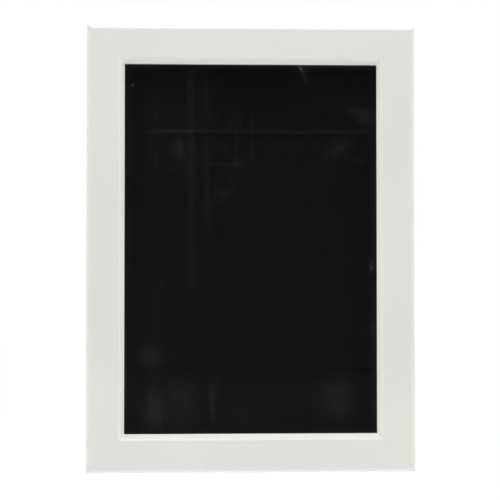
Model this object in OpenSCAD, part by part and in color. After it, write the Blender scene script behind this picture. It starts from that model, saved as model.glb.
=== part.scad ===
/* [Sheet] */
// Width of the sheet that the frame holds
sheet_w = 210; // [148:1:420]
// Height of the sheet that the frame holds
sheet_h = 297; // [210:1:594]
// Thickness of the clear cover sheet
sheet_t = 0.5; // [0.3:0.1:1]
// Play between the sheet's edge and the panel lip of each base rail
sheet_play = 1.1; // [0.6:0.1:2]

/* [Back panel] */
// Thickness of the back panel
panel_t = 2; // [1.5:0.1:2.4]
// Play between the panel's edge and the base rails
panel_play = 0.3; // [0.2:0.1:0.8]
// How far the base rails' lip reaches over the panel
panel_lip = 1.3; // [0.8:0.1:2]
// How far the base rails' floor reaches under the panel
panel_ledge = 8; // [4:0.5:12]

/* [Frame] */
// Depth of the closed frame, from the wall to the face
frame_depth = 12; // [11.5:0.5:15]
// How far each snap rail covers the sheet
sheet_cover = 11; // [8:0.5:14]
// Gap between neighbouring rails at a mitre
mitre_gap = 0.16; // [0.16:0.02:0.4]

/* [Snap rail] */
// Wall of the snap rail
snap_wall = 1.3; // [1.1:0.1:1.5]
// Radius of the rounded outer edge
edge_round = 4; // [3.5:0.1:4.4]
// Width of the sloping inner edge
bevel_w = 2.4; // [1.8:0.1:3.6]
// Radius where the face turns into the sloping inner edge
bevel_round = 1.2; // [0.8:0.1:2]
// Gap between the inner edge and the cover sheet
toe_gap = 0.2; // [0.15:0.05:0.4]

/* [Hinge] */
// Diameter of the bead that a snap rail turns on
bead_d = 2.4; // [2.2:0.1:2.6]
// Gap between the bead and the claw around it
claw_gap = 0.12; // [0.08:0.02:0.16]
// Wall of the claw
claw_wall = 1; // [0.9:0.05:1.1]
// Angle that a snap rail opens by
opening_angle = 90; // [75:1:92]
// Lean of the stem under the bead, from upright
stem_lean = 15; // [13:1:17]

/* [Base rail] */
// Thickness of the base rail's floor
floor_t = 1.2; // [1:0.1:1.3]
// Walls that stand on the floor
base_wall = 1.1; // [0.9:0.05:1.2]
// How far the base rails sit back from the frame's outline
base_inset = 0.3; // [0.2:0.1:0.8]
// Gap between the base rail and the claw that swings past it
swing_gap = 0.35; // [0.3:0.05:0.6]

/* [Corner key] */
// Width of a corner key's leg
key_w = 6.5; // [6:0.1:8]
// Thickness of a corner key
key_t = 2; // [1.6:0.1:2.1]
// Length of a corner key's leg, along the frame's outline
key_leg = 40; // [30:1:50]
// Gap between a corner key and its channel
key_gap = 0.1; // [0.05:0.05:0.2]
// Thickness of the lips over the key channel
lip_t = 0.5; // [0.4:0.05:0.6]
// Reach of the lips over a corner key
key_lip = 0.5; // [0.3:0.1:0.8]

/* [Spring] */
// Width of a spring strip
spring_w = 12; // [8:1:16]
// Thickness of a spring strip
spring_t = 0.5; // [0.4:0.05:0.5]
// Radius of the small bends at a strip's ends
spring_bend = 0.45; // [0.4:0.05:0.5]
// Height of the strip's top run over the claw
spring_lift = 1; // [0.95:0.05:1.05]
// Room between the strip's top run and the underside of the face
spring_room = 0.93; // [0.6:0.01:1.2]
// Gap between the strip's foot and the claw that swings past it
foot_gap = 0.466; // [0.4:0.002:0.6]
// Share of a rail's length between its middle and an outer spring
spring_place_share = 0.24; // [0.18:0.01:0.28]

/* [Fixings] */
// Diameter of the wall screw holes
wall_hole_d = 4; // [3:0.5:4.5]
// Diameter cleared for a wall screw's head
wall_head_d = 6.6; // [5.5:0.1:6.6]
// Spacing of the wall screw holes up the frame
wall_hole_pitch = 210; // [120:5:230]
// Diameter of the corner screws
corner_screw_d = 4; // [3:0.5:4]
// Length of the corner screws
corner_screw_l = 3; // [2.6:0.1:4]
// Width across the hexagon socket's corners
corner_socket_d = 2.3; // [1.7:0.1:2.3]
// Gap between a corner screw and its key
screw_gap = 0.05; // [0.02:0.01:0.1]

/* [Hidden] */
$fn = 64;

// A section lies in the plane of u, inwards from the frame's outline, and v, from the wall to the face.
// Heights in the base rail
key_top_v = floor_t + key_t;
key_lip_v = key_top_v + key_gap;
panel_top_v = floor_t + panel_t;
panel_lip_v = panel_top_v + key_gap;
sheet_top_v = panel_top_v + sheet_t;

// Hinge: the claw's outside is flush with the frame's outline, and its top leaves room for the springs
bead_r = bead_d / 2;
claw_in = bead_r + claw_gap;
claw_r = claw_in + claw_wall;
spring_half_t = spring_t / 2;
face_under_v = frame_depth - snap_wall;
spring_top_v = face_under_v - spring_room - spring_half_t;
bead_rise = spring_top_v - spring_lift - claw_r;
pivot = [claw_r, bead_rise];
stem_angle = stem_lean - 90;
stop_margin = 8;
stem_half_angle = asin(base_wall / 2 / claw_in) + stop_margin;
claw_start = stem_angle + stem_half_angle;
claw_end = 360 + stem_angle - stem_half_angle - opening_angle;
skirt_v = bead_rise - claw_r - swing_gap;
claw_setback = 2 * claw_r + swing_gap;

// Spring: its hooked foot stands clear of the swinging claw and of the stem, and its big bend joins the runs
hook_gap = 0.1;
hook_rise = 0.15;
hook_len = 0.8;
nub_w = 0.8;
rib_t = 0.8;
spring_tip_drop = 0.3;
spring_foot_v = key_lip_v - hook_gap - spring_half_t;
spring_low_v = key_lip_v + lip_t + hook_rise + spring_half_t;
spring_big_r = (spring_top_v - spring_low_v) / 2;
foot_bend_r = spring_bend + spring_half_t;
foot_fall = bead_rise - spring_low_v + spring_bend;
claw_clear = sqrt(max(0, pow(claw_r + foot_gap + foot_bend_r, 2) - pow(foot_fall, 2)));
stem_fall = bead_rise - spring_foot_v + spring_half_t;
stem_clear = stem_fall * tan(stem_lean) + base_wall / 2 / cos(stem_lean) + hook_gap + foot_bend_r;
spring_foot_u = pivot[0] + max(claw_clear, stem_clear) - spring_bend;
spring_tip_u = pivot[0] + bead_r / 2;
nub_u = spring_tip_u + spring_half_t + hook_gap;
nub_v = spring_top_v - spring_half_t - hook_rise;

// Base rail, from the spring's foot to its inner edge
hook_u = spring_foot_u + spring_half_t + hook_gap;
rib_u = hook_u + hook_len;
channel_u = rib_u + rib_t;
key_channel_w = key_w + 2 * key_gap;
riser_u = channel_u + key_channel_w;
panel_u = riser_u + base_wall + panel_play;
lip_end_u = riser_u + base_wall + panel_lip;
sheet_u = lip_end_u + sheet_play;
ledge_u = panel_u + panel_ledge;

// The whole frame
frame_w = sheet_w + 2 * sheet_u;
frame_h = sheet_h + 2 * sheet_u;
rail_w = sheet_u + sheet_cover;

// Snap rail
toe_v = sheet_top_v + toe_gap;
bevel_angle = atan((frame_depth - toe_v) / bevel_w);
bevel_u = rail_w - bevel_w;
bevel_shift = snap_wall * tan(bevel_angle / 2);
toe_w = snap_wall / sin(bevel_angle);

// Corner key: where its screws sit along a leg, and how much its corners are cut off
key_screw_share = 0.72;
key_nip_share = 0.2;
key_out_u = channel_u + key_gap;
key_mid_u = key_out_u + key_w / 2;
screw_place = key_out_u + (key_leg - key_out_u) * key_screw_share;

// Cuts run past what they cut by this much
cut = 1;

function arc(centre, r, from, to, steps) =
    [for (i = [0:steps]) centre + r * [cos(from + (to - from) * i / steps), sin(from + (to - from) * i / steps)]];

// Turn of a side about the frame's middle, and the outer size across that side
function side_turn(side) = side == "bottom" ? 0 : side == "left" ? 90 : side == "top" ? 180 : 270;
function side_across(side) = side == "top" || side == "bottom" ? frame_h : frame_w;
function side_length(side) = side == "top" || side == "bottom" ? frame_w : frame_h;

// Lays a section's u, v and length along the frame: u inwards, v to the front, length along the side
module on_side(side) {
    rotate([0, side_turn(side), 0])
        translate([0, 0, -side_across(side) / 2])
            rotate([180, -90, 0])
                children();
}

// Part of a plane that a pivot sees between two angles
module wedge(from, to, r) {
    polygon(concat([[0, 0]], arc([0, 0], r, from, to, 6)));
}

module base_section() {
    translate([base_inset, 0]) square([ledge_u - base_inset, floor_t]);
    translate([base_inset, 0]) square([base_wall, skirt_v]);
    bead_and_stem();
    spring_hook_rib();
    riser();
}

module bead_and_stem() {
    translate(pivot) circle(r = bead_r);
    stem_long = (bead_rise - floor_t / 2) / cos(stem_lean);
    translate(pivot)
        rotate(stem_lean - 180)
            translate([-base_wall / 2, 0])
                square([base_wall, stem_long]);
}

// Rib with a lip over the spring's foot on one side and over the corner key on the other
module spring_hook_rib() {
    translate([rib_u, floor_t / 2])
        square([rib_t, key_lip_v + lip_t - floor_t / 2]);
    translate([hook_u, key_lip_v])
        square([channel_u + key_lip - hook_u, lip_t]);
}

// Riser between the corner key and the back panel, with a lip over each
module riser() {
    translate([riser_u, floor_t / 2])
        square([base_wall, panel_lip_v + base_wall - floor_t / 2]);
    translate([riser_u - key_lip, key_lip_v])
        square([key_lip + base_wall / 2, lip_t]);
    translate([riser_u, panel_lip_v])
        square([lip_end_u - riser_u, base_wall]);
}

// What runs the full length of a snap rail: it never crosses a mitre as the rail turns
module front_section() {
    diagonal = pivot[0] + pivot[1] + swing_gap;
    difference() {
        outer_edge();
        polygon([[-cut, -cut], [diagonal + cut, -cut], [-cut, diagonal + cut]]);
    }
    face_and_inner_edge();
}

// What stops short of the corners, because it swings past the next rail's own claw
module claw_section() {
    outer_edge();
    claw();
    spring_nub();
}

module outer_edge() {
    translate([edge_round, frame_depth - edge_round])
        difference() {
            intersection() {
                circle(r = edge_round);
                wedge(90, 180, 2 * edge_round);
            }
            circle(r = edge_round - snap_wall);
        }
}

// Face and the sloping inner edge, with a round turn between them
module face_and_inner_edge() {
    turn_len = bevel_round * tan(bevel_angle / 2);
    turn_centre = [bevel_u - turn_len, frame_depth - bevel_round];
    polygon(concat(
        [[edge_round, face_under_v], [bevel_u - bevel_shift, face_under_v]],
        [[rail_w - toe_w, toe_v], [rail_w, toe_v]],
        arc(turn_centre, bevel_round, 90 - bevel_angle, 90, 8),
        [[edge_round, frame_depth]]
    ));
}

// Claw round the bead, joined to the outer edge
module claw() {
    difference() {
        union() {
            translate(pivot) circle(r = claw_r);
            translate([0, bead_rise]) square([pivot[0], frame_depth - edge_round - bead_rise]);
        }
        translate(pivot) circle(r = claw_in);
        translate(pivot) wedge(claw_end, 360 + claw_start, 2 * claw_r);
    }
}

// Nub on the claw that the spring's upper end hooks over
module spring_nub() {
    difference() {
        translate([nub_u, bead_rise + bead_r]) square([nub_w, nub_v - bead_rise - bead_r]);
        translate(pivot) circle(r = claw_in);
    }
}

// Middle line of a spring, from its foot under the rib's lip to its tip behind the nub
spring_line = concat(
    [[rib_u - hook_gap, spring_foot_v]],
    arc([spring_foot_u + spring_bend, spring_foot_v + spring_bend], spring_bend, 270, 180, 5),
    arc([spring_foot_u + spring_bend, spring_low_v - spring_bend], spring_bend, 180, 90, 5),
    arc([channel_u, spring_low_v + spring_big_r], spring_big_r, -90, 90, 20),
    arc([spring_tip_u + spring_bend, spring_top_v - spring_bend], spring_bend, 90, 180, 5),
    [[spring_tip_u, nub_v - spring_tip_drop]]
);

function along(line, i) =
    let (step = line[min(i + 1, len(line) - 1)] - line[max(i - 1, 0)]) step / norm(step);
function beside(line, i, d) = line[i] + d * [-along(line, i)[1], along(line, i)[0]];

module spring_section() {
    last = len(spring_line) - 1;
    polygon(concat(
        [for (i = [0:last]) beside(spring_line, i, spring_half_t)],
        [for (i = [last:-1:0]) beside(spring_line, i, -spring_half_t)]
    ));
}

// Cuts a rail's two ends to the mitres, which lean inwards at 45 degrees
module mitred(side) {
    half = side_length(side) / 2 - mitre_gap * sqrt(2) / 2;
    reach = rail_w + cut;
    intersection() {
        linear_extrude(height = side_length(side), center = true) children();
        translate([0, -cut, 0])
            rotate([-90, 0, 0])
                linear_extrude(height = frame_depth + 2 * cut)
                    polygon([[-cut, half + cut], [reach, half - reach], [reach, reach - half], [-cut, -half - cut]]);
    }
}

module base_rail(side) {
    color("gainsboro")
        on_side(side)
            difference() {
                mitred(side) base_section();
                if (side == "left" || side == "right") {
                    wall_hole(wall_hole_pitch / 2);
                    wall_hole(-wall_hole_pitch / 2);
                }
            }
}

// Hole for a wall screw in the channel's floor, with the lips cut back for its head
module wall_hole(s) {
    translate([channel_u + key_channel_w / 2, -cut, s])
        rotate([-90, 0, 0])
            cylinder(d = wall_hole_d, h = floor_t + 2 * cut);
    translate([channel_u + key_channel_w / 2, floor_t, s])
        rotate([-90, 0, 0])
            cylinder(d = wall_head_d, h = frame_depth);
}

module snap_rail(side) {
    color("white")
        on_side(side) {
            mitred(side) front_section();
            linear_extrude(height = side_length(side) - 2 * claw_setback, center = true)
                claw_section();
        }
}

module spring(side, place) {
    color("lightsteelblue")
        on_side(side)
            translate([0, 0, place * spring_place_share * side_length(side)])
                linear_extrude(height = spring_w, center = true)
                    spring_section();
}

// Places a piece drawn for the bottom left corner in another corner
module in_corner(x_side, z_side) {
    mirror([x_side > 0 ? 1 : 0, 0, 0])
        mirror([0, 0, z_side > 0 ? 1 : 0])
            translate([-frame_w / 2, 0, -frame_h / 2])
                rotate([90, 0, 0])
                    children();
}

module corner_key(x_side, z_side) {
    color("silver")
        in_corner(x_side, z_side)
            translate([0, 0, floor_t + key_gap / 2])
                linear_extrude(height = key_t)
                    difference() {
                        key_outline();
                        translate([key_mid_u, screw_place]) circle(r = corner_screw_d / 2 + screw_gap);
                        translate([screw_place, key_mid_u]) circle(r = corner_screw_d / 2 + screw_gap);
                    }
}

// Two legs at a right angle, with the outer corner and the legs' ends cut off at a slant
module key_outline() {
    nip = key_w * key_nip_share;
    inner = key_out_u + key_w;
    polygon([
        [key_out_u + nip, key_out_u], [key_leg - nip, key_out_u], [key_leg, key_out_u + nip],
        [key_leg, inner - nip], [key_leg - nip, inner], [inner, inner],
        [inner, key_leg - nip], [inner - nip, key_leg], [key_out_u + nip, key_leg],
        [key_out_u, key_leg - nip], [key_out_u, key_out_u + nip]
    ]);
}

module corner_screw() {
    socket_depth = corner_screw_l / 2;
    difference() {
        cylinder(d = corner_screw_d, h = corner_screw_l);
        translate([0, 0, corner_screw_l - socket_depth])
            cylinder(d = corner_socket_d, h = corner_screw_l, $fn = 6);
    }
}

module corner_screws() {
    color("dimgray")
        for (x_side = [-1, 1])
            for (z_side = [-1, 1])
                in_corner(x_side, z_side)
                    for (place = [[key_mid_u, screw_place], [screw_place, key_mid_u]])
                        translate([place[0], place[1], floor_t]) corner_screw();
}

module slab(w, h, back_v, t) {
    translate([-w / 2, -back_v - t, -h / 2]) cube([w, t, h]);
}

module back_panel() {
    color("black") slab(frame_w - 2 * panel_u, frame_h - 2 * panel_u, floor_t, panel_t);
}

module cover_sheet() {
    color("lightcyan", 0.3) slab(sheet_w, sheet_h, panel_top_v, sheet_t);
}

base_rail("top");  // base_rail_top
base_rail("bottom");  // base_rail_bottom
base_rail("left");  // base_rail_left
base_rail("right");  // base_rail_right
snap_rail("top");  // snap_rail_top
snap_rail("bottom");  // snap_rail_bottom
snap_rail("left");  // snap_rail_left
snap_rail("right");  // snap_rail_right
corner_key(-1, 1);  // corner_key_top_left
corner_key(1, 1);  // corner_key_top_right
corner_key(-1, -1);  // corner_key_bottom_left
corner_key(1, -1);  // corner_key_bottom_right
corner_screws();
back_panel();
cover_sheet();
spring("top", -1);  // spring_top_1
spring("top", 1);  // spring_top_2
spring("bottom", -1);  // spring_bottom_1
spring("bottom", 1);  // spring_bottom_2
spring("left", -1);  // spring_left_1
spring("left", 0);  // spring_left_2
spring("left", 1);  // spring_left_3
spring("right", -1);  // spring_right_1
spring("right", 0);  // spring_right_2
spring("right", 1);  // spring_right_3
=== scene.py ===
# %% [markdown]
# # A wall frame that snaps open
#
# The object is a white metal frame for one A4 sheet. Its four front rails flip open about their outer
# edges. The solids come from a CAD model, which fixes every size and every joint. This script dresses
# them: it makes finer surfaces where a solid looks too plain, gives each piece its finish, and sets up a
# small photo studio. Every cell prints what it made, so the script reads like a notebook.

# %% Load the fixed frame
import math

import bpy
import numpy as np
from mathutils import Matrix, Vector


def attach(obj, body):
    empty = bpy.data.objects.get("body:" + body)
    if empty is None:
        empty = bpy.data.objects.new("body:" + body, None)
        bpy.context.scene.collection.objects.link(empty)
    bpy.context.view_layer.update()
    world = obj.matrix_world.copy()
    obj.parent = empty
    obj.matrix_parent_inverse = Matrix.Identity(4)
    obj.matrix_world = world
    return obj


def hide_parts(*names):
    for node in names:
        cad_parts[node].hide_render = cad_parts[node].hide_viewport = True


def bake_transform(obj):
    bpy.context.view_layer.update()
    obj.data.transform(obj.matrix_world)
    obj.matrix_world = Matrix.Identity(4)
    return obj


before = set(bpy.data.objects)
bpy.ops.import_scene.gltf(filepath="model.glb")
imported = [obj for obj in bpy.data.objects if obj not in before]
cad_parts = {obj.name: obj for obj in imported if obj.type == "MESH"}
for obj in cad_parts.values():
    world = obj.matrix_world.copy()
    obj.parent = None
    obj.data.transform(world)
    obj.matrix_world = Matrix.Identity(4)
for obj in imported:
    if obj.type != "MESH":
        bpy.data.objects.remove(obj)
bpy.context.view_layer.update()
MM = 0.001

# %% [markdown]
# ## The camera
#
# The photograph was taken almost straight on. The lens stood about a degree to the left of the frame's
# middle and a little below it: the left rail looks a touch taller than the right one, and the bottom rail
# a touch wider than the top one. The camera comes first, so that every later step can be judged through it.

# %% Camera
CAMERA_DISTANCE = 550 * MM
CAMERA_YAW = math.radians(-1.15)
CAMERA_PITCH = math.radians(-0.78)
AIM = Vector((-0.66, 0, -1.03)) * MM
LENS = 52.71

towards_camera = Vector(
    (
        math.sin(CAMERA_YAW) * math.cos(CAMERA_PITCH),
        -math.cos(CAMERA_YAW) * math.cos(CAMERA_PITCH),
        math.sin(CAMERA_PITCH),
    )
)
camera = bpy.data.objects.new("camera", bpy.data.cameras.new("camera"))
bpy.context.scene.collection.objects.link(camera)
camera.data.lens = LENS
camera.data.sensor_width = 36
camera.location = AIM + towards_camera * CAMERA_DISTANCE
camera.rotation_euler = (-towards_camera).to_track_quat("-Z", "Y").to_euler()
bpy.context.scene.camera = camera
print("camera at", [round(x, 4) for x in camera.location], "lens", LENS, "mm")

# %% [markdown]
# ## Shader maths as Python
#
# A procedural finish is a small sum of noises and masks. Wiring Math nodes one by one hides that sum, so
# the class `Value` wraps a node's socket and lets plain `+`, `-` and `*` add the Math nodes. `Nodes` adds
# any other node with one method, and `Finish` holds one material. Numbers that are the same all over the
# surface are set straight on the shader's own sockets.


# %% Helpers for materials
class Value:
    """A node's output socket that takes part in sums: a + b, 1 - a and a * b add Math nodes."""

    def __init__(self, finish, socket):
        self.finish, self.socket = finish, socket

    def __add__(self, other):
        return self.finish.math("ADD", self, other)

    def __sub__(self, other):
        return self.finish.math("SUBTRACT", self, other)

    def __rsub__(self, other):
        return self.finish.math("SUBTRACT", other, self)

    def __mul__(self, other):
        return self.finish.math("MULTIPLY", self, other)

    __radd__ = __add__
    __rmul__ = __mul__


class Nodes:
    """A node tree that grows by calls."""

    def __init__(self, tree):
        self.tree = tree

    def node(self, kind, inputs=(), output=0, **settings):
        """Adds a node. Its settings come first, then each input gets its number or its link."""
        made = self.tree.nodes.new(kind)
        for name, setting in settings.items():
            setattr(made, name, setting)
        for socket, value in dict(inputs).items():
            self.join(made.inputs[socket], value)
        return Value(self, made.outputs[output])

    def join(self, socket, value):
        """Links a Value to a socket, or sets the socket to a plain number or colour."""
        if isinstance(value, Value):
            self.tree.links.new(value.socket, socket)
        else:
            socket.default_value = value

    def math(self, operation, *values):
        """Adds a Math node on numbers and Values."""
        return self.node("ShaderNodeMath", enumerate(values), operation=operation)

    def between(self, value, low, high, to_low=0.0, to_high=1.0):
        """Maps value from low..high to to_low..to_high with a soft start and end, and holds it outside."""
        inputs = enumerate((value, low, high, to_low, to_high))
        return self.node(
            "ShaderNodeMapRange", inputs, interpolation_type="SMOOTHSTEP"
        )


class Finish(Nodes):
    """One material: its Principled shader, and the nodes that feed it."""

    def __init__(self, name, **constants):
        self.material = bpy.data.materials.new(name)
        self.material.use_nodes = True
        super().__init__(self.material.node_tree)
        self.shader = self.tree.nodes["Principled BSDF"]
        self.place = self.node("ShaderNodeTexCoord", output="Object")
        for socket, number in constants.items():
            self.shader.inputs[socket.replace("_", " ")].default_value = number

    def feed(self, **inputs):
        """Links values that change over the surface to the shader."""
        for socket, value in inputs.items():
            self.join(self.shader.inputs[socket.replace("_", " ")], value)

    def stretched(self, x, y, z):
        """Object coordinates times (x, y, z), so that a pattern runs along one direction."""
        scale = {"Vector": self.place, "Scale": (x, y, z)}
        return self.node("ShaderNodeMapping", scale)

    def noise(self, per_metre, detail=2.0, roughness=0.5, where=None):
        """Smooth random values from 0 to 1, with so many blobs to a metre."""
        inputs = {
            "Vector": where or self.place,
            "Scale": per_metre,
            "Detail": detail,
            "Roughness": roughness,
        }
        return self.node("ShaderNodeTexNoise", inputs)

    def tint(self, factor, first, second):
        """Mixes two colours: first where factor is 0, second where it is 1."""
        inputs = {0: factor, 6: (*first, 1), 7: (*second, 1)}
        return self.node("ShaderNodeMix", inputs, output=2, data_type="RGBA")

    def bump(self, height, distance, strength=1.0):
        """Tilts the shading as if the surface rose by height times distance, in metres."""
        inputs = {"Height": height, "Distance": distance, "Strength": strength}
        return self.node("ShaderNodeBump", inputs)


print("helpers for materials are ready")

# %% [markdown]
# ## Powder coat
#
# The rails are aluminium with a white powder coat: a warm white, satin, with the very fine orange peel that
# baked powder has. The peel is about a millimetre from bump to bump and only a few microns high, so it is a
# Bump and not geometry. The colour drifts by a percent or so over a rail.

# %% Powder coat
WHITE = (0.722, 0.726, 0.688)


def powder_coat():
    """White satin coat: slow drift and fine specks in the colour, and orange peel in the bump."""
    f = Finish("powder_white", Specular_IOR_Level=0.3)
    drift = f.noise(14, detail=3)
    speck = f.noise(2600, detail=1)
    peel = f.noise(950, detail=2, roughness=0.55)
    shade = f.between(drift + 0.35 * speck, 0.45, 0.95)
    f.feed(
        Base_Color=f.tint(shade, [c * 0.985 for c in WHITE], [c * 1.012 for c in WHITE]),
        Roughness=0.42 + 0.08 * drift + 0.05 * speck,
        Normal=f.bump(peel, 0.000006, 0.55),
    )
    return f.material


white_coat = powder_coat()
print("finish:", white_coat.name)

# %% [markdown]
# ## Bare, blued and plated metal
#
# Four more metals show once a rail is open: the sawn mitre ends, the spring strips, the zinc-plated corner
# keys and the blackened grub screws. Each could be one grey with one roughness, but real metal shows how it
# was worked. So a noise that is stretched along one direction gives the saw's arcs and the drawing lines, and
# cells of a Voronoi pattern give the zinc its grain.

# %% Finishes for the other metals
def sawn_aluminium():
    """Bare metal where the saw cut the mitres: fine arcs left by the blade."""
    f = Finish("sawn_aluminium", Metallic=1.0)
    arcs = f.noise(900, detail=3, where=f.stretched(1, 6, 1))
    f.feed(
        Base_Color=f.tint(arcs, (0.60, 0.61, 0.62), (0.78, 0.79, 0.80)),
        Roughness=0.30 + 0.22 * arcs,
        Normal=f.bump(arcs, 0.00001, 0.6),
    )
    return f.material


def spring_steel():
    """Blued strip with drawing lines along its length and a little dullness in patches."""
    f = Finish("blued_steel", Metallic=1.0)
    lines = f.noise(2500, detail=2, where=f.stretched(1, 0.15, 1))
    patch = f.noise(160, detail=3)
    f.feed(
        Base_Color=f.tint(patch, (0.36, 0.39, 0.45), (0.55, 0.57, 0.60)),
        Roughness=0.22 + 0.12 * lines + 0.12 * patch,
        Normal=f.bump(lines, 0.000004, 0.5),
    )
    return f.material


def zinc_plate():
    """Zinc plating: pale grains of slightly different shade, and a faint yellow cast in places."""
    f = Finish("zinc_plate", Metallic=1.0)
    cells = {"Vector": f.place, "Scale": 700.0}
    grain = f.node("ShaderNodeTexVoronoi", cells, output="Distance")
    cast = f.noise(90, detail=2)
    f.feed(
        Base_Color=f.tint(cast, (0.62, 0.63, 0.65), (0.69, 0.67, 0.61)),
        Roughness=0.30 + 0.25 * grain,
        Normal=f.bump(grain, 0.000008, 0.4),
    )
    return f.material


def black_oxide():
    """Blackened steel of the grub screws, worn a little brighter in random patches."""
    f = Finish("black_oxide", Metallic=1.0)
    worn = f.between(f.noise(1200, detail=3), 0.55, 0.75)
    f.feed(
        Base_Color=f.tint(worn, (0.045, 0.045, 0.05), (0.20, 0.20, 0.21)),
        Roughness=0.36 + 0.14 * worn,
        Normal=f.bump(worn, 0.000005, 0.4),
    )
    return f.material


sawn = sawn_aluminium()
steel = spring_steel()
zinc = zinc_plate()
oxide = black_oxide()
print("other metals:", [m.name for m in (sawn, steel, zinc, oxide)])

# %% [markdown]
# ## Carrying the hidden parts over
#
# The base rails lie on the wall behind the white rails, with the corner keys, grub screws and back panel.
# Their solids already have the right shape, so they stay. A CAD mesh has knife-sharp edges, though, and no
# real edge is that sharp: a Weld joins its loose triangles and a tiny Bevel breaks every edge, which then
# catches a line of light.

# %% Base rails, keys and screws
WELD_DISTANCE = 0.001 * MM
SHARPEST_ANGLE = 35


def dress(node, finish, edge):
    """Gives a CAD node its finish, and breaks each edge that turns by more than SHARPEST_ANGLE."""
    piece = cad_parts[node]
    piece.data.materials.clear()
    piece.data.materials.append(finish)
    weld = piece.modifiers.new("join the triangles", "WELD")
    weld.merge_threshold = WELD_DISTANCE
    broken = piece.modifiers.new("break the edges", "BEVEL")
    broken.width = edge
    broken.segments = 2
    broken.limit_method = "ANGLE"
    broken.angle_limit = math.radians(SHARPEST_ANGLE)
    broken.harden_normals = True
    return piece


SIDES = ("bottom", "left", "top", "right")
for side in SIDES:
    dress(f"base_rail_{side}", white_coat, 0.08 * MM)
for corner in ("top_left", "top_right", "bottom_left", "bottom_right"):
    dress(f"corner_key_{corner}", zinc, 0.15 * MM)
dress("corner_screws", oxide, 0.1 * MM)
print("carried over:", [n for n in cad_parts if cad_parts[n].modifiers])

# %% [markdown]
# ## Sweeping a profile along a side
#
# An extruded rail is one profile carried along a straight line and cut off at its two ends. A curve with a
# bevel object would carry it too, but couldn't saw the ends at 45 degrees, so the sweep is worked out here.
# The profile lies in the plane of u, inwards from the frame's outline, and v, from the wall to the face. The
# length s runs along the side. One function turns those three numbers into a place in the room for whichever
# side is asked for, so each shape is worked out once and used four times.

# %% Places and profiles, in mm
FRAME_W, FRAME_H, FRAME_DEPTH = 243.0, 330.0, 12.0
RAIL_W = 27.5
ACROSS = {"bottom": FRAME_H, "left": FRAME_W, "top": FRAME_H, "right": FRAME_W}
LENGTH = {"bottom": FRAME_W, "left": FRAME_H, "top": FRAME_W, "right": FRAME_H}


def on_side(side, u, v, s):
    """Places a section point in the room.

    On the bottom rail x = s and z = u - across / 2. Each next side is that, turned by a quarter.
    """
    inward = u - ACROSS[side] / 2
    x, z = {
        "bottom": (s, inward),
        "left": (inward, -s),
        "top": (-s, -inward),
        "right": (-inward, s),
    }[side]
    return np.stack([x, -v, z], axis=-1) * MM


def arc(centre, radius, start, end, steps):
    """Points centre + radius * (cos, sin) of angles from start to end, in degrees."""
    angle = np.radians(np.linspace(start, end, steps + 1))
    return np.asarray(centre) + radius * np.stack([np.cos(angle), np.sin(angle)], axis=-1)


def rounded(before, corner, after, radius, steps=4, ease=0.05):
    """A corner as an arc that touches both its edges, with one more point on each edge close by.

    The centre lies on the bisector at radius / sin(half angle). The extra points keep the shading of the
    flat faces flat, because the normals only turn between them and the arc.
    """
    a, p, b = (np.asarray(point, float) for point in (before, corner, after))
    to_a, to_b = (a - p) / np.linalg.norm(a - p), (b - p) / np.linalg.norm(b - p)
    half = np.arccos(np.clip(to_a @ to_b, -1, 1)) / 2
    bisector = (to_a + to_b) / np.linalg.norm(to_a + to_b)
    centre = p + bisector * radius / np.sin(half)
    reach = radius / np.tan(half)
    first, last = p + to_a * reach - centre, p + to_b * reach - centre
    turn = np.pi - 2 * half
    t = np.linspace(0, 1, steps + 1)[:, None]
    blend = np.sin((1 - t) * turn) * first + np.sin(t * turn) * last
    curve = centre + blend / np.sin(turn)
    return np.vstack([p + to_a * (reach + ease), curve, p + to_b * (reach + ease)])


def outline(*parts):
    """Joins points and curves into a closed outline. Each (point, radius) is rounded between its neighbours."""
    ends = [np.atleast_2d(part[0] if isinstance(part, tuple) else part) for part in parts]
    made = []
    for i, part in enumerate(parts):
        if isinstance(part, tuple):
            before, after = ends[i - 1][-1], ends[(i + 1) % len(parts)][0]
            made.append(rounded(before, part[0], after, part[1]))
        else:
            made.append(np.atleast_2d(part))
    return np.vstack(made)


square = outline(([0, 0], 1), ([10, 0], 1), ([10, 10], 1), ([0, 10], 1))
print("a 10 mm square with round corners has", len(square), "points")

# %% Sweeps and meshes
RIM_RINGS = 4


def skin(k, n, turned=False):
    """Quads between k closed rings of n points each, and the two end faces, or all of them turned over."""
    here = np.arange(n)
    ring = np.arange(k - 1)[:, None] * n
    ahead = np.roll(here, -1)
    quads = np.stack([ring + here, ring + n + here, ring + n + ahead, ring + ahead], axis=-1)
    quads = quads.reshape(-1, 4)
    caps = [here, (k - 1) * n + here[::-1]]
    if turned:
        quads = np.roll(quads[:, ::-1], 1, axis=1)
        caps = [cap[::-1] for cap in caps]
    return quads, [cap.tolist() for cap in caps]


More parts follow.
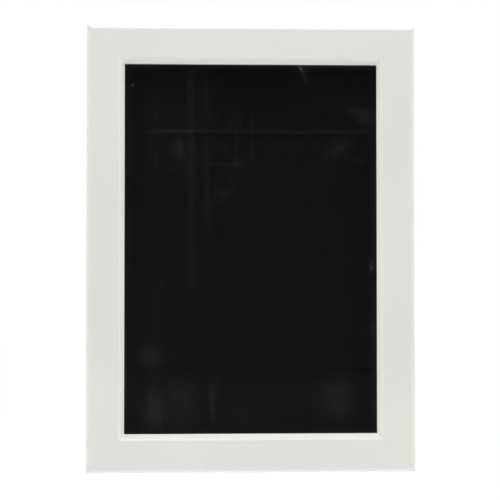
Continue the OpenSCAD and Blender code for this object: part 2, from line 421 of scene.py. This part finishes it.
def sweep(side, loop, half_length, mitre=1.0, edge=0.1, ease=0.08):
    """Carries a closed loop of (u, v) along a side, and returns points, quads and the two end faces.

    The end plane lies at s = half_length - mitre * u. Its rim is rounded: ring k is drawn in along the loop's
    normal by edge * (1 - sin f) and set back by edge * (1 - cos f), with f from 0 to 90 degrees.
    """
    ahead, behind = np.roll(loop, -1, axis=0), np.roll(loop, 1, axis=0)
    tangent = (ahead - behind) / np.linalg.norm(ahead - behind, axis=1, keepdims=True)
    normal = np.stack([tangent[:, 1], -tangent[:, 0]], axis=1)
    turn = np.radians(np.linspace(0, 90, RIM_RINGS))
    drawn_in = np.append(edge * (1 - np.sin(turn)), 0)
    set_back = np.append(edge * (1 - np.cos(turn)), edge + ease)
    rings = loop[None] - drawn_in[:, None, None] * normal[None]
    s = half_length - mitre * rings[..., 0] - set_back[:, None]
    rings = np.concatenate([rings, rings[::-1]])
    s = np.concatenate([s, -s[::-1]])
    points = on_side(side, rings[..., 0], rings[..., 1], s)
    return points.reshape(-1, 3), *skin(*s.shape)


def mesh_piece(name, parts, finishes, sharp=40):
    """Makes one object of several (points, quads, caps). The caps take the last finish."""
    points, faces, kinds, start = [], [], [], 0
    for part_points, quads, caps in parts:
        points.append(part_points)
        faces += (quads + start).tolist() + [[i + start for i in cap] for cap in caps]
        kinds += [0] * len(quads) + [len(finishes) - 1] * len(caps)
        start += len(part_points)
    mesh = bpy.data.meshes.new(name)
    mesh.from_pydata(np.vstack(points), [], faces)
    for finish in finishes:
        mesh.materials.append(finish)
    mesh.polygons.foreach_set("material_index", kinds)
    mesh.polygons.foreach_set("use_smooth", [True] * len(faces))
    mesh.set_sharp_from_angle(angle=math.radians(sharp))
    mesh.validate()
    piece = bpy.data.objects.new(name, mesh)
    bpy.context.scene.collection.objects.link(piece)
    return piece


print("each mitred end is rounded by", RIM_RINGS, "rings")

# %% [markdown]
# ## The white front rails
#
# From the front, a snap rail is a flat face between a large round on its outer edge and a short slope down to
# the cover sheet on its inner edge. Behind the round hangs the claw that turns on the base rail's bead. The
# face runs into the mitre at both ends, while the claw stops short of the corners, so that neighbouring rails
# can open one by one. So each rail is two sweeps in one piece, and the sawn ends are left bare. The saw left
# such tight mitres that they can hardly be seen when the frame is shut.

# %% The snap rail's profile
EDGE_R, SNAP_WALL = 4.0, 1.3  # the outer round, and the rail's wall
PIVOT = np.array([2.32, 6.2])  # middle of the bead
CLAW_IN, CLAW_OUT = 1.32, 2.32  # radii inside and outside the claw
CLAW_FROM, CLAW_TO = -42.4, 162.4  # angles at which the claw ends
LEAD = 6  # degrees between the claw's arcs and its rounded tips
SHOULDER = (0.87, 8.0)  # where the face's profile ends inside the claw's
NUB_V, NUB_U = 9.12, (3.27, 4.07)  # the nub that a spring hooks over: its top and its two sides
BEVEL_W, BEVEL_R, TOE_V = 2.4, 1.8, 3.9  # inner slope: its width, its crest's radius, and where it ends
TINY_R, TIP_R, NUB_R = 0.1, 0.12, 0.2  # radii of corners at the shoulder, the claw's tips and the nub
TOE_IN_R, TOE_OUT_R = 0.25, 0.3
EDGE_CENTRE = np.array([EDGE_R, FRAME_DEPTH - EDGE_R])
bevel_turn = math.degrees(math.atan((FRAME_DEPTH - TOE_V) / BEVEL_W))
toe_w = SNAP_WALL / math.sin(math.radians(bevel_turn))
bevel_shift = SNAP_WALL * math.tan(math.radians(bevel_turn / 2))
bevel_u = RAIL_W - BEVEL_W
under_v = FRAME_DEPTH - SNAP_WALL


def face_loop():
    """Outer round from the claw's shoulder, flat face, rounded crest, slope, toe, and back underneath."""
    crest = bevel_u - BEVEL_R * math.tan(math.radians(bevel_turn / 2))
    inner_u = bevel_u - bevel_shift
    return outline(
        (SHOULDER, TINY_R),
        ([SNAP_WALL, SHOULDER[1]], TINY_R),
        arc(EDGE_CENTRE, EDGE_R - SNAP_WALL, 178, 90, 12),
        [inner_u - 0.4, under_v],
        [inner_u + 0.15, under_v - 0.36],
        ([RAIL_W - toe_w, TOE_V], TOE_IN_R),
        ([RAIL_W, TOE_V], TOE_OUT_R),
        arc([crest, FRAME_DEPTH - BEVEL_R], BEVEL_R, 90 - bevel_turn, 90, 12),
        [crest - 0.1, FRAME_DEPTH],
        [EDGE_R + 0.1, FRAME_DEPTH],
        arc(EDGE_CENTRE, EDGE_R, 90, 168, 16),
    )


def round_bead(radius, angle):
    """The point at that distance and angle from the middle of the bead."""
    return arc(PIVOT, radius, angle, angle, 0)[0]


def claw_loop():
    """The lower outer skin, the claw round the bead, the nub, and two points inside the face's outer round."""
    foot_v = PIVOT[1] + PIVOT[0] * math.tan(math.radians(180 - CLAW_TO))
    return outline(
        arc(EDGE_CENTRE, EDGE_R, 169, 180, 2),
        ([0, foot_v], TIP_R),
        (round_bead(CLAW_IN, CLAW_TO), TIP_R),
        arc(PIVOT, CLAW_IN, CLAW_TO - LEAD, CLAW_FROM + LEAD, 28),
        (round_bead(CLAW_IN, CLAW_FROM), TIP_R),
        (round_bead(CLAW_OUT, CLAW_FROM), NUB_R),
        arc(PIVOT, CLAW_OUT, CLAW_FROM + LEAD, 40, 12),
        ([NUB_U[1], NUB_V], NUB_R),
        ([NUB_U[0], NUB_V], NUB_R),
        arc(PIVOT, CLAW_OUT, 66.5, 115, 8),
        [0.95, 8.75],
        [0.62, 9.25],
    )


print("points round the profile:", len(face_loop()), "for the face and", len(claw_loop()), "for the claw")

# %% The four snap rails
MITRE_GAP = 0.03
SAWN_EDGE = 0.04
CLAW_SETBACK = 4.99  # from the frame's corner to the claw's end

for side in SIDES:
    half = LENGTH[side] / 2
    face = sweep(side, face_loop(), half - MITRE_GAP * math.sqrt(2) / 2, edge=SAWN_EDGE)
    claw = sweep(side, claw_loop(), half - CLAW_SETBACK, mitre=0.0)
    rail = mesh_piece(f"front_rail_{side}", [face, claw], [white_coat, sawn])
    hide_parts(f"snap_rail_{side}")
    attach(rail, f"{side}_rail")
    print(rail.name, "has", len(rail.data.polygons), "faces")

# %% [markdown]
# ## The spring strips
#
# Ten bent steel strips make the rails snap. One end hooks under a lip of the base rail and the other over the
# rail's nub. When a rail opens, that end travels a quarter turn round the bead while the other stays put. Here
# each strip is made in its shut shape only, and is fixed to no body.

# %% Springs
SPRING_W, SPRING_T = 12.0, 0.5
STRIP_EDGE_R = 0.12
# Two places on the strip's upper run. Their places in the room are worked out for each strip, and nothing uses
# them.
BEND_U, BEND_V = np.array([6.9, 5.2]), np.array([8.9, 10.6])
SPRING_PLACES = {"top": (-1, 1), "bottom": (-1, 1), "left": (-1, 0, 1), "right": (-1, 0, 1)}
SPRING_SPACING = 0.24  # of the rail's length
# From the hook under the base rail's lip, round the big bow, along the upper run, to the hook over the nub.
SPRING_LINE = np.vstack(
    [
        [[5.4, 2.95], [5.1, 2.95]],
        arc([4.8, 3.4], 0.45, 270, 180, 6),
        arc([4.8, 3.75], 0.45, 180, 90, 6),
        [[5.4, 4.2], [6.0, 4.2]],
        arc([6.3, 6.86], 2.66, -90, 90, 40),
        np.stack([np.linspace(6.2, 3.5, 36), np.full(36, 9.52)], axis=1),
        arc([3.37, 9.07], 0.45, 90, 180, 6),
        [[2.92, 8.92], [2.92, 8.82]],
    ]
)


def bent_strip(side, line, middle):
    """A strip along a line: ring i is a rounded rectangle spanned by the line's normal and the length s."""
    step = np.gradient(line, axis=0)
    step /= np.linalg.norm(step, axis=1, keepdims=True)
    normal = np.stack([-step[:, 1], step[:, 0]], axis=1)
    w, t = SPRING_W / 2, SPRING_T / 2
    ring = outline(*(([a, b], STRIP_EDGE_R) for a, b in ((-w, -t), (w, -t), (w, t), (-w, t))))
    points = line[:, None] + normal[:, None] * ring[None, :, 1:]
    s = middle + np.broadcast_to(ring[:, 0], points.shape[:2])
    placed = on_side(side, points[..., 0], points[..., 1], s).reshape(-1, 3)
    return placed, *skin(*s.shape, turned=True)


for side, places in SPRING_PLACES.items():
    for number, place in enumerate(places, 1):
        middle = SPRING_SPACING * LENGTH[side] * place
        strip = bent_strip(side, SPRING_LINE, middle)
        spring = mesh_piece(f"strip_{side}_{number}", [strip], [steel])
        from_, to = on_side(side, BEND_U, BEND_V, np.full(2, middle))
        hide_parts(f"spring_{side}_{number}")
        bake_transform(spring)
print("springs:", sum(len(p) for p in SPRING_PLACES.values()), "with", len(SPRING_LINE), "rings each")

# %% [markdown]
# ## The black back panel
#
# The panel is black polystyrene sheet. Behind the cover it reads as nearly pure black. Its back side is duller
# and a little greyer, with the fine leathery grain that such sheet is rolled with. One material does both: a
# mask that grows from the panel's front side to its back side adds the dullness.

# %% Back panel
DULL_FROM_Y, DULL_TO_Y = -0.0030, -0.0013  # between the panel's two sides


def black_sheet():
    """Black plastic with a rolled grain, and a grey dullness in clouds on the side towards the wall."""
    f = Finish("black_polystyrene", Specular_IOR_Level=0.05)
    grain = f.noise(2200, detail=2)
    leather = f.noise(700, detail=3, roughness=0.6)
    cloud = f.noise(25, detail=4, roughness=0.6)
    depth = f.node("ShaderNodeSeparateXYZ", {0: f.place}, output="Y")
    behind = f.between(depth, DULL_FROM_Y, DULL_TO_Y)
    dull = behind * (0.35 + 0.45 * cloud + 0.5 * leather)
    f.feed(
        Base_Color=f.tint(0.1 * cloud + dull, (0.0066, 0.0080, 0.0075), (0.024, 0.025, 0.026)),
        Roughness=0.48 + 0.14 * cloud + 0.08 * grain + 0.1 * dull,
        Normal=f.bump(grain + 2 * leather, 0.00002, 0.35),
    )
    return f.material


dress("back_panel", black_sheet(), 0.2 * MM)

# %% [markdown]
# ## The clear cover sheet
#
# The cover is a thin clear film that was packed flat and folded at least twice, and it shows: two creases run
# across it, a few soft bands run down it, and small dents lie near the edges. A bump would shade all this but
# leave the film's outline flat, so the sheet is a height field. The same functions that raise its creases also
# write how much pale, milky plastic is mixed in at each point. Part of that is real haze, because plastic goes
# milky where it has been bent or scuffed. The rest is painted light: painted glints on the dents, painted pale
# lines along the rails' lips where they mirror in the sheet, painted dark lines of shade beside some creases,
# and a slow painted brightening towards the foot. This haze and painted light is an attribute of the mesh.

# %% Folds, dents, painted lines and painted glints of the cover sheet, in mm
SHEET_W, SHEET_H, SHEET_T = 210.0, 297.0, 0.5


def soft_line(x, z, start, end, width):
    """1 on the line from start to end, and exp(-(distance / width)^2) beside it, with soft ends."""
    start, end = np.array(start, float), np.array(end, float)
    along = (end - start) / np.linalg.norm(end - start)
    t = (x - start[0]) * along[0] + (z - start[1]) * along[1]
    past = np.maximum(0, np.maximum(-t, t - np.linalg.norm(end - start)))
    off = (z - start[1]) * along[0] - (x - start[0]) * along[1]
    return np.exp(-((off / width) ** 2) - (past / (3 * width)) ** 2)


def soft_spot(x, z, centre, across, up, lean=0.0):
    """A soft oval spot: exp(-(a / across)^2 - (b / up)^2) in axes that lean by so many degrees."""
    c, s = math.cos(math.radians(lean)), math.sin(math.radians(lean))
    a = (x - centre[0]) * c + (z - centre[1]) * s
    b = (z - centre[1]) * c - (x - centre[0]) * s
    return np.exp(-((a / across) ** 2) - (b / up) ** 2)


FOLDS_AND_PAINTED_LINES = [
    # start, end, width, rise, haze and painted light
    # Creases with a rise: their pale plastic is part real haze, part painted sheen where they catch the light.
    ((-76, 87.4), (88, 87.4), 1.2, 0.07, 0.42),
    # Painted dark line of shade just below the crease above.
    ((-76, 84.9), (92, 84.9), 1.1, 0.0, -0.22),
    # A low crease, with painted dark lines of shade along it.
    ((66, -90.5), (93, -89.5), 1.6, -0.05, -0.25),
    ((-90, -89), (60, -91), 1.5, -0.03, -0.12),
    # Soft bands down the sheet: part real haze, part painted sheen.
    ((-44.8, 130), (-44.8, -28), 1.9, 0.05, 0.26),
    ((-33.5, 132), (-33.5, -20), 1.6, 0.03, 0.22),
    ((-70.8, 86), (-70.8, -92), 1.3, 0.04, 0.2),
    ((1, 98), (1, 36), 1.6, 0.04, 0.20),
    ((-11, 93), (-11, 62), 2.2, 0.02, 0.25),
    ((-56, 84), (-47, 60), 2.4, 0.03, 0.28),
    ((-26, 62.5), (-8, 62.5), 1.2, 0.02, 0.40),
    ((-60, 34.5), (0, 34.5), 1.1, 0.02, 0.16),
    ((12, 75), (16, 67), 1.5, 0.02, 0.3),
    # Painted pale line: the right rail's lip mirrored in the sheet.
    ((90.2, 140), (90.6, -140), 0.8, 0.03, 0.30),
    # Painted pale lines along the rails' lips, where they mirror in the sheet; these don't raise it.
    ((-93.2, 137), (-93.2, -137), 2.2, 0.0, 0.28),
    ((-94, 136.8), (94, 136.8), 1.8, 0.0, 0.55),
    ((93.5, 137), (93.5, -137), 1.3, 0.0, 0.35),
    # Painted dark lines of shade beside the right and left edges.
    ((86.0, 140), (86.4, -140), 2.6, 0.0, -0.10),
    ((-86.9, 104), (-86.9, -24), 2.4, 0.0, -0.09),
]
DENTS_AND_GLINTS = [
    # centre, half width, half height, lean in degrees, rise, haze and painted light
    # Dents at the top right whose pale plastic is mostly a painted highlight.
    ((85, 98), 3.2, 5.0, -20, 0.06, 1.0),
    ((79, 103), 6, 2.4, -15, 0.03, 0.55),
    ((65, 75), 9, 4.5, 30, 0.04, 0.5),
    ((83, 66), 3, 3, 0, 0.02, 0.5),
    # Painted glints on small dents.
    ((37.5, 134.5), 3.0, 1.4, -52, 0.03, 4.0),
    ((40.5, 128), 1.3, 4.5, 8, 0.03, 1.6),
    ((-88.3, 122), 1.1, 1.1, 0, 0.03, 4.2),
    ((-71, 99.6), 1.3, 3.2, -30, 0.03, 0.6),
    # Spots of part scuffed haze, part painted highlight.
    ((-21, 40), 4, 1.5, 0, 0.02, 0.7),
    ((-55, 74), 6, 5, 20, 0.03, 0.35),
    ((-76, -80), 9, 7, 0, 0.04, 0.5),
    ((-18, -82), 12, 3, 0, 0.02, 0.25),
    ((-72, -120), 7, 13, 0, 0.05, 0.7),
    ((-52, -112), 9, 15, 0, 0.03, 0.3),
    ((-29, -112), 2.6, 16, 0, 0.03, 0.5),
    ((-7, -124), 8, 5, -25, 0.03, 0.35),
    ((64, -113), 11, 11, 0, 0.05, 0.5),
    ((24, -105), 12, 9, 0, 0.02, 0.1),
    # A painted glint and a painted pale streak beside the right lip.
    ((90.2, -14.5), 1.5, 2.6, 0, 0.02, 2.2),
    ((90.2, -60), 1.4, 7, 0, 0.02, 0.8),
]

print("the sheet has", len(FOLDS_AND_PAINTED_LINES), "folds and lines, and", len(DENTS_AND_GLINTS), "dents and spots")

# %% Cover sheet
SHEET_V = 3.7  # from the wall to the front of the flat sheet
CELL = 1.2
HIGHEST_RISE = 0.14
HELD_RIM, HELD_EASE = 7, 6  # the rails hold this rim flat, and the sheet rises over this width beside it


def sheet_shape(x, z):
    """Height above the flat sheet in mm, and haze and painted light from 0 up.

    Both are sums of folds and dents over a slow wave. The pale plastic also grows towards the foot and the left
    side, and is least in the middle of the top: painted brightening and painted shade over the whole sheet.
    """
    rise = 0.05 + 0.03 * np.sin(x / 31 + z / 57) * np.sin(z / 43 - x / 90)
    # Painted light: paler towards the foot and the left side, and painted darker at the top middle.
    haze_and_painted_light = 0.17 - 0.13 * z / SHEET_H + 0.05 * np.exp(-(((x + 72) / 30) ** 2))
    haze_and_painted_light -= 0.06 * soft_spot(x, z, (8, 125), 44, 30)
    for start, end, width, height, pale_plastic in FOLDS_AND_PAINTED_LINES:
        line = soft_line(x, z, start, end, width)
        rise, haze_and_painted_light = rise + height * line, haze_and_painted_light + pale_plastic * line
    for centre, across, up, lean, height, pale_plastic in DENTS_AND_GLINTS:
        spot = soft_spot(x, z, centre, across, up, lean)
        rise, haze_and_painted_light = rise + height * spot, haze_and_painted_light + pale_plastic * spot
    rim = np.minimum(SHEET_W / 2 - np.abs(x), SHEET_H / 2 - np.abs(z))
    free = np.clip((rim - HELD_RIM) / HELD_EASE, 0, 1)
    eased = np.clip(rise, 0, HIGHEST_RISE) * free * free * (3 - 2 * free)
    return eased, np.maximum(haze_and_painted_light, 0)


def sheet_mesh():
    """Front and back grids, SHEET_T apart, joined round the rim by quads between their border points."""
    nx, nz = int(SHEET_W / CELL) + 1, int(SHEET_H / CELL) + 1
    z, x = np.meshgrid(
        np.linspace(-SHEET_H / 2, SHEET_H / 2, nz),
        np.linspace(-SHEET_W / 2, SHEET_W / 2, nx),
        indexing="ij",
    )
    rise, haze_and_painted_light = sheet_shape(x, z)
    front = np.stack([x, -(SHEET_V + rise), z], axis=-1)
    back = front + [0, SHEET_T, 0]
    points = np.concatenate([front.reshape(-1, 3), back.reshape(-1, 3)]) * MM
    i = np.arange(nz * nx).reshape(nz, nx)
    a, b, c, d = i[:-1, :-1], i[:-1, 1:], i[1:, 1:], i[1:, :-1]
    face = np.stack([a, b, c, d], axis=-1).reshape(-1, 4)
    rim = np.concatenate([i[0, :-1], i[:-1, -1], i[-1, :0:-1], i[:0:-1, 0]])
    ahead = np.roll(rim, -1)
    wall = np.stack([rim, rim + i.size, ahead + i.size, ahead], axis=-1)
    quads = np.concatenate([face, face[:, ::-1] + i.size, wall])
    return points, quads, haze_and_painted_light.ravel()


def clear_film():
    """Clear film, with a little pale plastic mixed in: real haze where the sheet is creased or scuffed, and
    painted glints, pale lines and shade.
    """
    f = Finish("clear_film", Transmission_Weight=1.0, IOR=1.45, Specular_IOR_Level=0.35)
    haze_and_painted_light = f.node("ShaderNodeAttribute", attribute_name="haze_and_painted_light", output="Fac")
    cloud = f.noise(18, detail=4, roughness=0.6)
    fine = f.noise(350, detail=3)
    f.feed(
        Base_Color=f.tint(cloud, (0.96, 0.97, 0.97), (0.99, 0.99, 0.99)),
        Roughness=0.03 + 0.03 * cloud + 0.06 * haze_and_painted_light,
        Normal=f.bump(cloud, 0.0002, 0.3),
    )
    pale = {"Base Color": (0.80, 0.82, 0.82, 1), "Roughness": 0.6}
    pale_plastic = f.node("ShaderNodeBsdfPrincipled", pale)
    # The mixed-in pale plastic carries real haze and painted light.
    amount = 0.0006 * cloud + 0.010 * haze_and_painted_light + 0.004 * haze_and_painted_light * fine
    clear = Value(f, f.shader.outputs[0])
    mixed = f.node("ShaderNodeMixShader", {0: amount, 1: clear, 2: pale_plastic})
    f.join(f.tree.nodes["Material Output"].inputs[0], mixed)
    return f.material


points, quads, haze_and_painted_light = sheet_mesh()
cover = mesh_piece("clear_cover", [(points, quads, [])], [clear_film()], sharp=60)
# The attribute holds real haze and painted light.
stored = cover.data.attributes.new("haze_and_painted_light", "FLOAT", "POINT")
stored.data.foreach_set("value", np.concatenate([haze_and_painted_light, haze_and_painted_light]).astype(np.float32))
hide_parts("cover_sheet")
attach(cover, "frame")
print("cover sheet:", len(quads), "faces, haze up to", round(float(haze_and_painted_light.max()), 2))

# %% [markdown]
# ## The studio
#
# The photograph has a pure white background, soft light from all four sides, and a dark room behind the
# camera: the black panel mirrors almost nothing there. So the world and the pale floor well below the hanging
# frame are white wherever the camera or a reflection looks, and give little light of their own. A dark board
# stands behind the camera. Only reflections see it. Its lower part is less dark, and that shows in the cover
# sheet as the slightly paler strip at the bottom.
#
# Four soft lamps stand far out to the sides, and a fifth behind the frame lights its back. Their powers were
# worked out from renders with one lamp at a time. From some sides the cover would mirror three of them as
# white panes, so those three are left out of reflections.

# %% Floor, board, lamps and world
FLOOR_Z = -1.3
FLOOR_HALF = 30
BOARD_Y = -0.85
BOARD_HALF, BOARD_FOOT, BOARD_TOP = 0.7, -0.9, 0.8
PALE_BELOW, PALE_EASE = -0.226, 0.03
HORIZON_EASE = 0.2
WORLD_LEVEL = 0.07
LAMPS = [
    # name, place, power in watts, whether reflections show it
    ("left_lamp", (-1.49, -0.48, 0), 18.3, False),
    ("right_lamp", (1.5, -0.46, 0), 18.8, False),
    ("top_lamp", (0, -0.38, 1.32), 19.6, True),
    ("low_lamp", (0, -0.5, -1.15), 10.1, False),
    ("back_lamp", (0, 1.6, 0), 22.0, True),
]
LAMP_SIZE = 0.8


def stage_plane(name, corners, material):
    """A single face that isn't part of the object."""
    mesh = bpy.data.meshes.new(name)
    mesh.from_pydata(corners, [], [[0, 1, 2, 3]])
    mesh.materials.append(material)
    plane = bpy.data.objects.new(name, mesh)
    bpy.context.scene.collection.objects.link(plane)
    return plane


def looked_at(nodes):
    """1 for a ray that the camera, a reflection or something clear looks along, and 0 for any other."""
    camera_ray, glossy_ray, clear_ray = (
        nodes.node("ShaderNodeLightPath", output=f"Is {ray} Ray")
        for ray in ("Camera", "Glossy", "Transmission")
    )
    return nodes.math("MAXIMUM", nodes.math("MAXIMUM", camera_ray, glossy_ray), clear_ray)


def pale_floor():
    """Pale floor that is lifted to white wherever it is looked at, and which still takes shadows."""
    f = Finish("pale_floor", Specular_IOR_Level=0.1, Emission_Strength=0.95)
    patch = f.noise(3, detail=2)
    f.feed(
        Base_Color=f.tint(patch, (0.60, 0.60, 0.60), (0.62, 0.62, 0.62)),
        Roughness=0.85 + 0.1 * patch,
        Emission_Color=f.tint(looked_at(f), (0, 0, 0), (1, 1, 1)),
    )
    return f.material


def dark_board():
    """Nearly black above, a little paler below the height that the sheet mirrors at its foot."""
    f = Finish("dark_board", Roughness=1.0, Specular_IOR_Level=0.0)
    height = f.node("ShaderNodeSeparateXYZ", {0: f.place}, output="Z")
    above = f.between(height + 0.03 * f.noise(9), PALE_BELOW, PALE_BELOW + PALE_EASE)
    f.feed(Base_Color=f.tint(above, (0.035, 0.035, 0.035), (0.01, 0.01, 0.01)))
    return f.material


def lamp(name, place, power, mirrored):
    """A square soft lamp that faces the frame's middle. The film and the metal mirror it, or they don't."""
    light = bpy.data.lights.new(name, "AREA")
    light.size, light.energy = LAMP_SIZE, power
    made = bpy.data.objects.new(name, light)
    made.location = place
    made.rotation_euler = (-Vector(place)).to_track_quat("-Z", "Y").to_euler()
    made.visible_camera = False
    made.visible_glossy = made.visible_transmission = mirrored
    bpy.context.scene.collection.objects.link(made)


def white_room(level):
    """A world that is white to the camera, reflections and clear things.

    Everything else gets light at level from the half in front of the frame, and none from behind it.
    """
    world = bpy.data.worlds.new("white_room")
    world.use_nodes = True
    w = Nodes(world.node_tree)
    seen = looked_at(w)
    towards = w.node("ShaderNodeTexCoord", output="Generated")
    depth = w.node("ShaderNodeSeparateXYZ", {0: towards}, output="Y")
    soft = w.between(depth, -HORIZON_EASE, HORIZON_EASE, level, 0.0)
    room = w.tree.nodes["Background"].inputs
    room["Color"].default_value = (1, 1, 1, 1)
    w.join(room["Strength"], soft + (1 - soft) * seen)
    bpy.context.scene.world = world


turns = ((-1, -1), (1, -1), (1, 1), (-1, 1))
flat = [(a * FLOOR_HALF, b * FLOOR_HALF, FLOOR_Z) for a, b in turns]
stage_plane("floor", flat, pale_floor())
reach = ((-1, BOARD_FOOT), (-1, BOARD_TOP), (1, BOARD_TOP), (1, BOARD_FOOT))
upright = [(a * BOARD_HALF, BOARD_Y, z) for a, z in reach]
board = stage_plane("dark_board", upright, dark_board())
board.visible_camera = board.visible_diffuse = board.visible_shadow = False

for name, place, power, mirrored in LAMPS:
    lamp(name, place, power, mirrored)
white_room(WORLD_LEVEL)
bpy.context.scene.view_settings.view_transform = "Standard"
